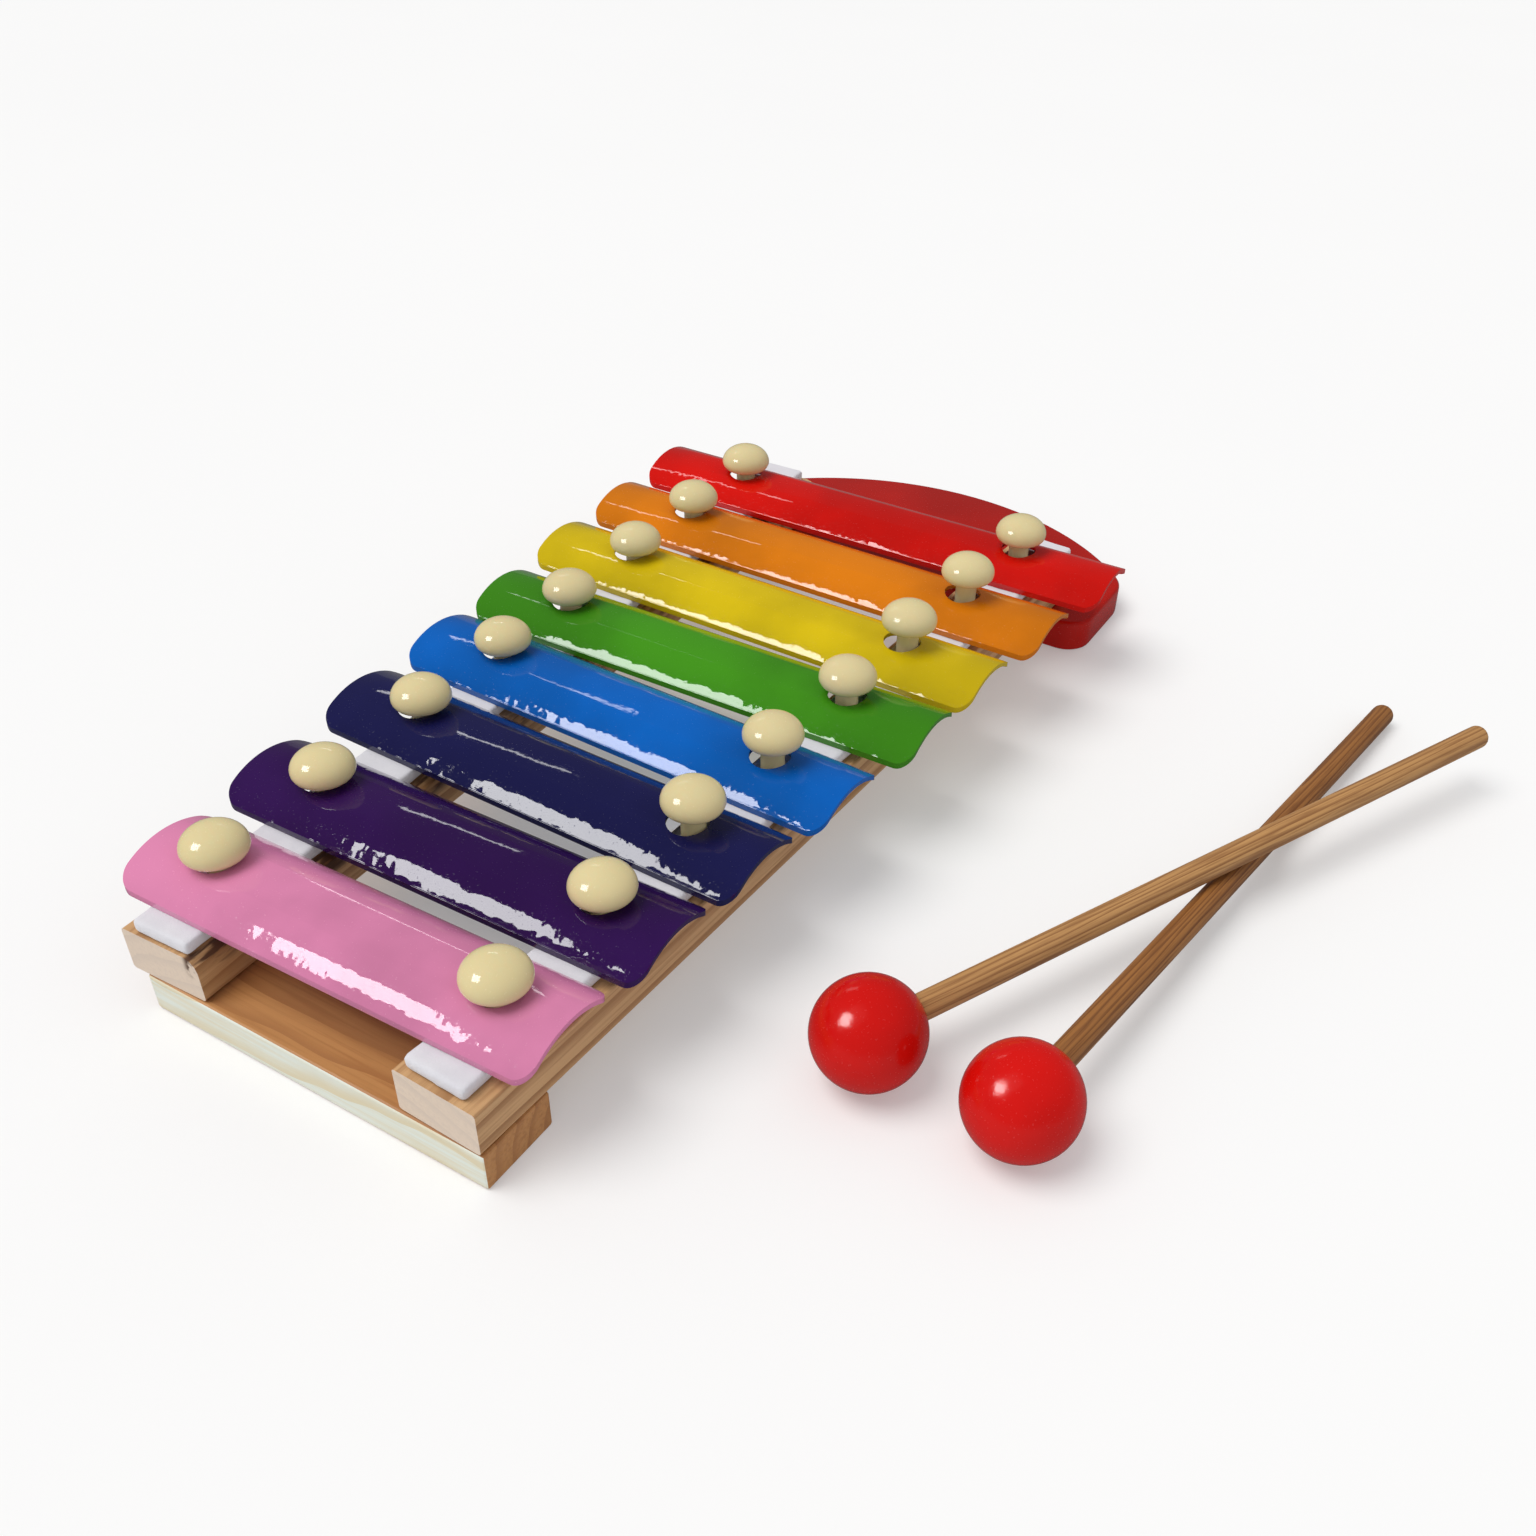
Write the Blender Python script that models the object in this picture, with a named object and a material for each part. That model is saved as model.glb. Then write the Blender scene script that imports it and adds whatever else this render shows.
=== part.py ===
# Toy metal-bar xylophone on a tapering wooden frame, with its pair of mallets.
# Units are metres. +Y runs from the short bars to the long ones, +X to the player's right, +Z up.
# The origin is on the table under the middle of the near foot board, on the pegs' centre line.

import bpy
import bmesh
from math import asin, atan2, cos, pi, radians, sin, sqrt, tan
from mathutils import Matrix, Vector

MM = 0.001

# Clearances between pieces that touch or fit
SEAT_GAP = 0.3 * MM
PEG_HOLE_CLEARANCE = 0.15 * MM
STRIP_HOLE_CLEARANCE = 0.3 * MM
STICK_SOCKET_CLEARANCE = 0.12 * MM
SCREW_CLEARANCE = 0.2 * MM
BLIND_HOLE_RUNOUT = 0.4 * MM

# Sound bars: pressed sheet, arched across its width
BAR_PITCH = 25.0 * MM
SHORTEST_BAR = 86.0 * MM
LONGEST_BAR = 121.6 * MM
BAR_WIDTH = 21.5 * MM
BAR_SHEET = 0.9 * MM
BAR_RISE = 4.2 * MM
BAR_CORNER_RADIUS = 3.2 * MM
BAR_HOLE_RADIUS = 3.95 * MM

# Each bar from the near end: name, paint, skew in degrees, how far it has slid along itself and how far it
# lies off the even pitch, then how high its left and right peg caps stand over its crown
BARS = (
    ("pink", (0.75, 0.27, 0.49), 1.0, 0.0 * MM, -0.2 * MM, 0.5 * MM, 0.6 * MM),
    ("purple", (0.030, 0.009, 0.110), 0.6, -0.6 * MM, 0.0 * MM, 0.5 * MM, 0.9 * MM),
    ("navy", (0.009, 0.014, 0.095), -1.3, -1.2 * MM, 0.5 * MM, 0.8 * MM, 3.1 * MM),
    ("blue", (0.004, 0.190, 0.680), -1.8, -0.6 * MM, 0.3 * MM, 0.6 * MM, 3.0 * MM),
    ("green", (0.060, 0.330, 0.020), 0.8, 0.1 * MM, -0.1 * MM, 0.8 * MM, 1.9 * MM),
    ("yellow", (0.680, 0.510, 0.012), -0.6, -1.2 * MM, -0.5 * MM, 1.0 * MM, 3.6 * MM),
    ("orange", (0.620, 0.180, 0.010), 0.0, -0.7 * MM, -0.3 * MM, 1.2 * MM, 3.5 * MM),
    ("red", (0.550, 0.010, 0.007), 1.0, 0.0 * MM, 0.2 * MM, 1.1 * MM, 2.1 * MM),
)

# Mushroom pegs
PEG_SPREAD_NEAR = 29.6 * MM
PEG_SPREAD_FAR = 37.2 * MM
PEG_CAP_RADIUS = 5.8 * MM
PEG_CAP_DOME = 4.0 * MM
PEG_CAP_UNDERCUT = 1.8 * MM
PEG_STEM_RADIUS = 2.3 * MM
PEG_STEM_LENGTH = 16.3 * MM
PEG_TIP_CHAMFER = 0.5 * MM

# Rails
RAIL_SPREAD_NEAR = 30.1 * MM
RAIL_SPREAD_FAR = 36.3 * MM
RAIL_WIDTH = 16.7 * MM
RAIL_HEIGHT = 8.9 * MM
RAIL_EDGE_RADIUS = 0.6 * MM
RAIL_WANE_RADIUS = 2.6 * MM
RAIL_ON_FAR_BOARD = 15.4 * MM

# Felt strips on the rails
STRIP_WIDTH = 12.4 * MM
STRIP_THICKNESS = 2.3 * MM
STRIP_EDGE_RADIUS = 0.7 * MM
STRIP_SETBACK_LEFT = 0.3 * MM
STRIP_SETBACK_RIGHT = 1.0 * MM
STRIP_FAR_SETBACK = 0.8 * MM

# Foot boards
BOARD_THICKNESS = 7.7 * MM
NEAR_BOARD_LENGTH = 73.2 * MM
NEAR_BOARD_DEPTH = 15.6 * MM
NEAR_BOARD_OFFSET = 1.7 * MM
NEAR_BOARD_EDGE_RADIUS = 0.5 * MM
FIRST_BAR_FROM_FRONT = 16.0 * MM
FAR_BOARD_WIDTH = 105.0 * MM
FAR_BOARD_DEPTH = 49.8 * MM
FAR_BOARD_OFFSET = 2.1 * MM
FAR_BOARD_ARC_RADIUS = 70.0 * MM
FAR_BOARD_PAST_LAST_BAR = 4.2 * MM
FAR_BOARD_FRONT_RADIUS = 6.3 * MM
FAR_BOARD_SIDE_RADIUS = 10.0 * MM
FAR_BOARD_EDGE_RADIUS = 0.9 * MM

# Wood screws that hold the rails on the boards from below
SCREW_HEAD_RADIUS = 3.0 * MM
SCREW_SHANK_RADIUS = 1.4 * MM
SCREW_LENGTH = 13.0 * MM
SCREW_SUNK = 0.3 * MM
SCREW_SLOT_WIDTH = 0.8 * MM
SCREW_SLOT_LENGTH = 3.6 * MM
SCREW_SLOT_DEPTH = 0.8 * MM

# Mallets: turned ball heads on bamboo sticks, crossed on the table
HEAD_RADIUS = 9.9 * MM
HEAD_SOCKET_DEPTH = 12.0 * MM
STICK_RADIUS = 2.45 * MM
MALLET_REACH = 157.3 * MM
STICK_END_RADIUS = 1.2 * MM
UPPER_HEAD_PLACE = (75.5 * MM, 43.6 * MM)
UPPER_HEADING = radians(64.0)
LOWER_HEAD_PLACE = (102.7 * MM, 43.8 * MM)
LOWER_HEADING = radians(82.3)

# Facets
ROUND_SEGMENTS = 16
BALL_SEGMENTS = 24
SLIM_SEGMENTS = 12
ARC_STEPS = 3
ARCH_STEPS = 10
FAR_ARC_STEPS = 14
EDGE_STEPS = 2
CAP_STEPS = 5

# Heights, from the table up
BOARD_TOP = BOARD_THICKNESS
RAIL_BOTTOM = BOARD_TOP + SEAT_GAP
RAIL_TOP = RAIL_BOTTOM + RAIL_HEIGHT
STRIP_BOTTOM = RAIL_TOP + SEAT_GAP
STRIP_TOP = STRIP_BOTTOM + STRIP_THICKNESS
BAR_BOTTOM = STRIP_TOP + SEAT_GAP

# The arch: outer and inner radius, and the crown's height over the bar's lowest edge
ARCH_OUTER = ((BAR_WIDTH / 2) ** 2 + BAR_RISE ** 2) / (2 * BAR_RISE)
ARCH_INNER = ARCH_OUTER - BAR_SHEET
ARCH_HEIGHT = ARCH_OUTER - sqrt(ARCH_INNER ** 2 - (BAR_WIDTH / 2) ** 2)
CROWN_TOP = BAR_BOTTOM + ARCH_HEIGHT

# Places along Y
FRONT = -NEAR_BOARD_DEPTH / 2
FIRST_BAR = FRONT + FIRST_BAR_FROM_FRONT
LAST_BAR = FIRST_BAR + BAR_PITCH * (len(BARS) - 1)
FAR_BOARD_FRONT = LAST_BAR + FAR_BOARD_PAST_LAST_BAR
RAIL_FAR_END = FAR_BOARD_FRONT + RAIL_ON_FAR_BOARD


def spread_at(y, near, far):
    """Half-distance from the centre line at y, on a line set by its values at the first and last bar."""
    return near + (far - near) * (y - FIRST_BAR) / (LAST_BAR - FIRST_BAR)


def rail_slope():
    return (RAIL_SPREAD_FAR - RAIL_SPREAD_NEAR) / (LAST_BAR - FIRST_BAR)


def peg_slope():
    return (PEG_SPREAD_FAR - PEG_SPREAD_NEAR) / (LAST_BAR - FIRST_BAR)


def bar_y(index):
    return FIRST_BAR + BAR_PITCH * index + BARS[index][4]


def bar_length(index):
    return SHORTEST_BAR + (LONGEST_BAR - SHORTEST_BAR) * index / (len(BARS) - 1)


def peg_place(index, side):
    """Plan position of a bar's peg: side is -1 for the left peg and +1 for the right one."""
    y = bar_y(index)
    reach = side * spread_at(y, PEG_SPREAD_NEAR, PEG_SPREAD_FAR)
    skew = radians(BARS[index][2])
    return Vector((reach * cos(skew), y + reach * sin(skew)))


def clear_scene():
    for obj in list(bpy.data.objects):
        bpy.data.objects.remove(obj, do_unlink=True)


def make_material(name, colour, roughness, metallic=0.0, coat=0.0):
    material = bpy.data.materials.new(name)
    material.use_nodes = True
    material.diffuse_color = (*colour, 1.0)
    shader = material.node_tree.nodes["Principled BSDF"]
    shader.inputs["Base Color"].default_value = (*colour, 1.0)
    shader.inputs["Roughness"].default_value = roughness
    shader.inputs["Metallic"].default_value = metallic
    shader.inputs["Coat Weight"].default_value = coat
    return material


def new_object(name, mesh, material=None):
    obj = bpy.data.objects.new(name, mesh)
    bpy.context.scene.collection.objects.link(obj)
    if material:
        mesh.materials.append(material)
    return obj


def new_empty(name, location):
    obj = bpy.data.objects.new(name, None)
    bpy.context.scene.collection.objects.link(obj)
    obj.location = location
    return obj


def mesh_from(bm, name):
    bmesh.ops.recalc_face_normals(bm, faces=bm.faces)
    mesh = bpy.data.meshes.new(name)
    bm.to_mesh(mesh)
    bm.free()
    return mesh


def shade_round(mesh, angle=35.0):
    mesh.shade_smooth()
    mesh.set_sharp_from_angle(angle=radians(angle))


def filleted(corners, radii, steps=ARC_STEPS):
    """Outline through the corners, each one rounded by an arc of its own radius."""
    outline = []
    count = len(corners)
    for index, corner in enumerate(corners):
        here = Vector(corner)
        radius = radii[index]
        if radius <= 0:
            outline.append(here)
            continue
        back = (Vector(corners[index - 1]) - here).normalized()
        ahead = (Vector(corners[(index + 1) % count]) - here).normalized()
        half = back.angle(ahead) / 2
        centre = here + (back + ahead).normalized() * (radius / sin(half))
        start = here + back * (radius / tan(half)) - centre
        sweep = pi - 2 * half
        turn = 1 if back.x * ahead.y - back.y * ahead.x < 0 else -1
        for step in range(steps + 1):
            angle = turn * sweep * step / steps
            outline.append(centre + Matrix.Rotation(angle, 2) @ start)
    return outline


def prism(name, outline, low, high, frame):
    """Solid between two copies of a flat outline. frame maps (u, v, along) to x, y, z."""
    bm = bmesh.new()
    bottom = [bm.verts.new(frame(point[0], point[1], low)) for point in outline]
    top = [bm.verts.new(frame(point[0], point[1], high)) for point in outline]
    bm.faces.new(bottom)
    bm.faces.new(top)
    for index in range(len(outline)):
        after = (index + 1) % len(outline)
        bm.faces.new((bottom[index], bottom[after], top[after], top[index]))
    return mesh_from(bm, name)


def upright(u, v, along):
    return (u, v, along)


def lengthwise(u, v, along):
    return (u, along, v)


def crosswise(u, v, along):
    return (along, u, v)


def lathe(name, profile, segments=ROUND_SEGMENTS):
    """Turned solid about Z from (radius, height) points that start and end on the axis."""
    bm = bmesh.new()
    rings = []
    for radius, height in profile:
        if radius == 0:
            rings.append([bm.verts.new((0, 0, height))])
            continue
        turns = [2 * pi * step / segments for step in range(segments)]
        rings.append([bm.verts.new((radius * cos(a), radius * sin(a), height)) for a in turns])
    for lower, upper in zip(rings, rings[1:]):
        for step in range(segments):
            after = (step + 1) % segments
            corners = [lower[step % len(lower)], lower[after % len(lower)]]
            corners += [upper[after % len(upper)], upper[step % len(upper)]]
            bm.faces.new(list(dict.fromkeys(corners)))
    mesh = mesh_from(bm, name)
    shade_round(mesh)
    return mesh


def quarter(centre_radius, centre_height, across, up, start, end, steps):
    """Points of an ellipse's arc, as (radius, height), from one angle to another in degrees."""
    angles = [radians(start + (end - start) * step / steps) for step in range(steps + 1)]
    return [(centre_radius + across * cos(a), centre_height + up * sin(a)) for a in angles]


def boolean(obj, cutters, operation="DIFFERENCE"):
    """Cuts obj with each cutter in turn, keeps the result as its mesh and removes the cutters."""
    bpy.context.view_layer.update()
    for cutter in cutters:
        modifier = obj.modifiers.new("cut", "BOOLEAN")
        modifier.operation = operation
        modifier.object = cutter
        modifier.solver = "EXACT"
    graph = bpy.context.evaluated_depsgraph_get()
    shaped = bpy.data.meshes.new_from_object(obj.evaluated_get(graph))
    obj.modifiers.clear()
    obj.data = shaped
    for cutter in cutters:
        bpy.data.objects.remove(cutter, do_unlink=True)


def round_cutter(radius, low, high, x, y):
    profile = ((0, low), (radius, low), (radius, high), (0, high))
    cutter = new_object("cutter", lathe("cutter", profile))
    cutter.location = (x, y, 0)
    return cutter


def add_bevel(obj, width, segments):
    modifier = obj.modifiers.new("edge", "BEVEL")
    modifier.width = width
    modifier.segments = segments
    modifier.limit_method = "ANGLE"
    modifier.angle_limit = radians(40)


def screw_points():
    """Plan position of each screw, with the board it holds."""
    near_y = FRONT + NEAR_BOARD_DEPTH / 2
    far_y = FAR_BOARD_FRONT + RAIL_ON_FAR_BOARD / 2
    for board, y in (("near", near_y), ("far", far_y)):
        for side, word in ((-1, "left"), (1, "right")):
            x = side * spread_at(y, RAIL_SPREAD_NEAR, RAIL_SPREAD_FAR)
            yield board, word, x, y


def screw_profile(grow):
    """Countersunk screw from its flat head up to its point; grow widens it into its own hole."""
    head = SCREW_HEAD_RADIUS + grow
    shank = SCREW_SHANK_RADIUS + grow
    low = SCREW_SUNK if grow == 0 else -SCREW_SUNK
    cone_top = SCREW_SUNK + SCREW_HEAD_RADIUS - SCREW_SHANK_RADIUS
    tip = SCREW_SUNK + SCREW_LENGTH + grow
    taper = 2 * SCREW_SHANK_RADIUS
    return ((0, low), (head, low), (head, SCREW_SUNK), (shank, cone_top), (shank, tip - taper), (0, tip))


def screw_cutters(board):
    cutters = []
    for holder, _, x, y in screw_points():
        if board in (holder, "rail"):
            hole = lathe("cutter", screw_profile(SCREW_CLEARANCE), SLIM_SEGMENTS)
            cutter = new_object("cutter", hole)
            cutter.location = (x, y, 0)
            cutters.append(cutter)
    return cutters


def make_near_board(material):
    half = NEAR_BOARD_LENGTH / 2
    left, right = NEAR_BOARD_OFFSET - half, NEAR_BOARD_OFFSET + half
    corners = ((left, FRONT), (right, FRONT), (right, -FRONT), (left, -FRONT))
    board = new_object("near_board", prism("near_board", corners, 0, BOARD_TOP, upright), material)
    add_bevel(board, NEAR_BOARD_EDGE_RADIUS, EDGE_STEPS)
    boolean(board, screw_cutters("near"))


def far_board_outline():
    """Straight front, short straight sides and an arc for the back, with every corner rounded."""
    half = FAR_BOARD_WIDTH / 2
    centre_y = FAR_BOARD_FRONT + FAR_BOARD_DEPTH - FAR_BOARD_ARC_RADIUS
    reach = asin(half / FAR_BOARD_ARC_RADIUS)
    corners = [(FAR_BOARD_OFFSET - half, FAR_BOARD_FRONT), (FAR_BOARD_OFFSET + half, FAR_BOARD_FRONT)]
    radii = [FAR_BOARD_FRONT_RADIUS, FAR_BOARD_FRONT_RADIUS]
    for step in range(FAR_ARC_STEPS + 1):
        angle = reach - 2 * reach * step / FAR_ARC_STEPS
        x = FAR_BOARD_OFFSET + FAR_BOARD_ARC_RADIUS * sin(angle)
        corners.append((x, centre_y + FAR_BOARD_ARC_RADIUS * cos(angle)))
        radii.append(FAR_BOARD_SIDE_RADIUS if step in (0, FAR_ARC_STEPS) else 0)
    return filleted(corners, radii)


def make_far_board(material):
    mesh = prism("far_board", far_board_outline(), 0, BOARD_TOP, upright)
    board = new_object("far_board", mesh, material)
    add_bevel(board, FAR_BOARD_EDGE_RADIUS, EDGE_STEPS)
    boolean(board, screw_cutters("far"))


def peg_tip():
    """Height of the deepest peg's tip."""
    return CROWN_TOP + min(min(bar[5], bar[6]) for bar in BARS) - PEG_STEM_LENGTH


def make_rail(word, side, material):
    """Rail with square-cut ends, splayed to follow the pegs, foremost corner in line with the near board."""
    angle = atan2(rail_slope(), 1.0) * -side
    half = RAIL_WIDTH / 2
    section = ((-half, RAIL_BOTTOM), (half, RAIL_BOTTOM), (half, RAIL_TOP), (-half, RAIL_TOP))
    inner_left_radius = RAIL_WANE_RADIUS if side < 0 else RAIL_EDGE_RADIUS
    radii = (RAIL_EDGE_RADIUS, RAIL_EDGE_RADIUS, inner_left_radius, RAIL_EDGE_RADIUS)
    length = (RAIL_FAR_END - FRONT) / cos(angle)
    mesh = prism("rail_" + word, filleted(section, radii), 0, length, lengthwise)
    rail = new_object("rail_" + word, mesh, material)
    corner_lead = half * sin(abs(angle))
    rail.location = (side * spread_at(FRONT, RAIL_SPREAD_NEAR, RAIL_SPREAD_FAR), FRONT + corner_lead, 0)
    rail.rotation_euler = (0, 0, angle)
    radius = PEG_STEM_RADIUS + PEG_HOLE_CLEARANCE
    low = peg_tip() - BLIND_HOLE_RUNOUT
    cutters = []
    for index in range(len(BARS)):
        place = peg_place(index, side)
        cutters.append(round_cutter(radius, low, RAIL_TOP + RAIL_HEIGHT, place.x, place.y))
    boolean(rail, cutters + screw_cutters("rail"))


def make_strip(word, side, setback, material):
    """Felt strip along the pegs' line, pierced by their stems."""
    angle = atan2(peg_slope(), 1.0) * -side
    half = STRIP_WIDTH / 2
    section = ((-half, STRIP_BOTTOM), (half, STRIP_BOTTOM), (half, STRIP_TOP), (-half, STRIP_TOP))
    radii = (0, 0, STRIP_EDGE_RADIUS, STRIP_EDGE_RADIUS)
    near = FRONT + RAIL_WIDTH / 2 * rail_slope() + setback
    length = (RAIL_FAR_END - STRIP_FAR_SETBACK - near) / cos(angle)
    mesh = prism("felt_" + word, filleted(section, radii, EDGE_STEPS), 0, length, lengthwise)
    strip = new_object("felt_strip_" + word, mesh, material)
    strip.location = (side * spread_at(near, PEG_SPREAD_NEAR, PEG_SPREAD_FAR), near, 0)
    strip.rotation_euler = (0, 0, angle)
    radius = PEG_STEM_RADIUS + STRIP_HOLE_CLEARANCE
    cutters = []
    for index in range(len(BARS)):
        place = peg_place(index, side)
        cutters.append(round_cutter(radius, RAIL_TOP, CROWN_TOP, place.x, place.y))
    boolean(strip, cutters)


def make_bar(index, material):
    """Arched sheet cut to a plan with rounded corners and a loose hole for each peg."""
    name, _, skew, slid = BARS[index][:4]
    half_length = bar_length(index) / 2
    half_width = BAR_WIDTH / 2
    spare = BAR_CORNER_RADIUS
    sweep = asin((half_width + spare / 2) / ARCH_OUTER)
    angles = [sweep - 2 * sweep * step / ARCH_STEPS for step in range(ARCH_STEPS + 1)]
    drop = ARCH_HEIGHT - ARCH_OUTER
    outer = [(ARCH_OUTER * sin(a), ARCH_OUTER * cos(a) + drop) for a in angles]
    inner = [(ARCH_INNER * sin(a), ARCH_INNER * cos(a) + drop) for a in reversed(angles)]
    slab_reach = half_length + spare
    sheet = prism("bar_" + name, outer + inner, -slab_reach, slab_reach, crosswise)
    bar = new_object("bar_" + name, sheet, material)
    bar.location = (slid * cos(radians(skew)), bar_y(index) + slid * sin(radians(skew)), BAR_BOTTOM)
    bar.rotation_euler = (0, 0, radians(skew))

    corners = ((-half_length, -half_width), (half_length, -half_width))
    corners += ((half_length, half_width), (-half_length, half_width))
    outline = filleted(corners, (BAR_CORNER_RADIUS,) * 4)
    blank = new_object("blank", prism("blank", outline, -ARCH_HEIGHT, 2 * ARCH_HEIGHT, upright))
    holes = []
    reach = spread_at(bar_y(index), PEG_SPREAD_NEAR, PEG_SPREAD_FAR)
    for side in (-1, 1):
        hole = round_cutter(BAR_HOLE_RADIUS, -2 * ARCH_HEIGHT, 3 * ARCH_HEIGHT, side * reach, 0)
        holes.append(hole)
    boolean(blank, holes)
    blank.matrix_world = bar.matrix_basis
    boolean(bar, [blank], "INTERSECT")
    shade_round(bar.data)
    bar.data.materials.clear()
    bar.data.materials.append(material)


def peg_profile():
    """Chamfered stem, flat under the cap, round rim and domed top, with the cap's underside at height 0."""
    flat = PEG_CAP_RADIUS - PEG_CAP_UNDERCUT
    tip = -PEG_STEM_LENGTH
    profile = [(0, tip), (PEG_STEM_RADIUS - PEG_TIP_CHAMFER, tip)]
    profile += [(PEG_STEM_RADIUS, tip + PEG_TIP_CHAMFER), (PEG_STEM_RADIUS, 0)]
    profile += quarter(flat, PEG_CAP_UNDERCUT, PEG_CAP_UNDERCUT, PEG_CAP_UNDERCUT, -90, 0, EDGE_STEPS)
    profile += quarter(0, PEG_CAP_UNDERCUT, PEG_CAP_RADIUS, PEG_CAP_DOME, 0, 90, CAP_STEPS)[1:-1]
    profile.append((0, PEG_CAP_UNDERCUT + PEG_CAP_DOME))
    return profile


def make_pegs(material):
    mesh = lathe("peg", peg_profile())
    mesh.materials.append(material)
    for index, bar in enumerate(BARS):
        for side, word, stand in ((-1, "left", bar[5]), (1, "right", bar[6])):
            place = peg_place(index, side)
            peg = new_object("peg_%s_%s" % (bar[0], word), mesh)
            peg.location = (place.x, place.y, CROWN_TOP + stand)


def make_screws(material):
    mesh = lathe("screw", screw_profile(0), SLIM_SEGMENTS)
    mesh.materials.append(material)
    depth = SCREW_SUNK + SCREW_SLOT_DEPTH
    for board, word, x, y in screw_points():
        screw = new_object("screw_%s_%s" % (board, word), mesh.copy())
        slots = []
        for across, along in ((SCREW_SLOT_WIDTH, SCREW_SLOT_LENGTH), (SCREW_SLOT_LENGTH, SCREW_SLOT_WIDTH)):
            corners = ((-across / 2, -along / 2), (across / 2, -along / 2))
            corners += ((across / 2, along / 2), (-across / 2, along / 2))
            slots.append(new_object("slot", prism("slot", corners, -SCREW_SUNK, depth, upright)))
        boolean(screw, slots)
        screw.location = (x, y, 0)


def head_profile():
    """Ball about the origin with a socket for the stick, drilled from its +Z side."""
    socket = STICK_RADIUS + STICK_SOCKET_CLEARANCE
    rim = asin(socket / HEAD_RADIUS)
    profile = [(0, -HEAD_RADIUS)]
    steps = BALL_SEGMENTS // 2
    for step in range(1, steps + 1):
        angle = pi - (pi - rim) * step / steps
        profile.append((HEAD_RADIUS * sin(angle), HEAD_RADIUS * cos(angle)))
    floor = HEAD_RADIUS - HEAD_SOCKET_DEPTH
    profile += [(socket, floor), (0, floor)]
    return profile


def stick_profile():
    """Stick along +Z from the socket's floor to its rounded end."""
    low = HEAD_RADIUS - HEAD_SOCKET_DEPTH + SEAT_GAP
    inner = STICK_RADIUS - STICK_END_RADIUS
    profile = [(0, low), (STICK_RADIUS, low)]
    shoulder = MALLET_REACH - STICK_END_RADIUS
    profile += quarter(inner, shoulder, STICK_END_RADIUS, STICK_END_RADIUS, 0, 90, ARC_STEPS)[:-1]
    profile += [(inner, MALLET_REACH), (0, MALLET_REACH)]
    return profile


def crossing():
    """How far along each stick's plan line the two sticks cross."""
    gap_x = LOWER_HEAD_PLACE[0] - UPPER_HEAD_PLACE[0]
    gap_y = LOWER_HEAD_PLACE[1] - UPPER_HEAD_PLACE[1]
    turn = sin(LOWER_HEADING - UPPER_HEADING)
    along_upper = (gap_x * sin(LOWER_HEADING) - gap_y * cos(LOWER_HEADING)) / turn
    along_lower = (gap_x * sin(UPPER_HEADING) - gap_y * cos(UPPER_HEADING)) / turn
    return along_upper, along_lower


def mallet_slopes():
    """Slope of each stick: the lower one ends on the table, and the upper one lies across it."""
    lower = asin((STICK_RADIUS - HEAD_RADIUS) / MALLET_REACH)
    along_upper, along_lower = crossing()
    lower_height = HEAD_RADIUS + along_lower * tan(lower)
    rise = lower_height + 2 * STICK_RADIUS / cos(lower) + SEAT_GAP - HEAD_RADIUS
    return atan2(rise, along_upper), lower


def make_mallet(word, place, heading, slope, head_material, stick_material):
    """Head and stick under an empty at the ball's centre, tipped along the stick's direction."""
    hub = new_empty("mallet_" + word, (place[0], place[1], HEAD_RADIUS))
    hub.rotation_euler = (0, pi / 2 - slope, heading)
    head = new_object("mallet_head_" + word, lathe("head", head_profile(), BALL_SEGMENTS), head_material)
    stick = new_object("mallet_stick_" + word, lathe("stick", stick_profile()), stick_material)
    head.parent = hub
    stick.parent = hub


def main():
    clear_scene()
    pine = make_material("pale_pine", (0.72, 0.66, 0.42), 0.6)
    rail_wood = make_material("rail_wood", (0.42, 0.22, 0.09), 0.55)
    felt = make_material("white_felt", (0.70, 0.70, 0.72), 0.9)
    board_red = make_material("board_red", (0.33, 0.012, 0.008), 0.25, coat=0.5)
    ivory = make_material("ivory_plastic", (0.74, 0.66, 0.39), 0.25)
    steel = make_material("zinc_screw", (0.55, 0.53, 0.48), 0.35, 1.0)
    head_red = make_material("mallet_red", (0.58, 0.012, 0.008), 0.22, coat=0.5)
    bamboo = make_material("bamboo", (0.42, 0.20, 0.07), 0.45)

    make_near_board(pine)
    make_far_board(board_red)
    for word, side, setback in (("left", -1, STRIP_SETBACK_LEFT), ("right", 1, STRIP_SETBACK_RIGHT)):
        make_rail(word, side, rail_wood)
        make_strip(word, side, setback, felt)
    for index, bar in enumerate(BARS):
        make_bar(index, make_material("paint_" + bar[0], bar[1], 0.15, coat=1.0))
    make_pegs(ivory)
    make_screws(steel)
    upper_slope, lower_slope = mallet_slopes()
    make_mallet("upper", UPPER_HEAD_PLACE, UPPER_HEADING, upper_slope, head_red, bamboo)
    make_mallet("lower", LOWER_HEAD_PLACE, LOWER_HEADING, lower_slope, head_red, bamboo)
    bpy.context.view_layer.update()
    print("crown height %.2f mm" % (CROWN_TOP / MM))


main()
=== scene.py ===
import math

import bpy
from mathutils import Matrix, Vector


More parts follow.
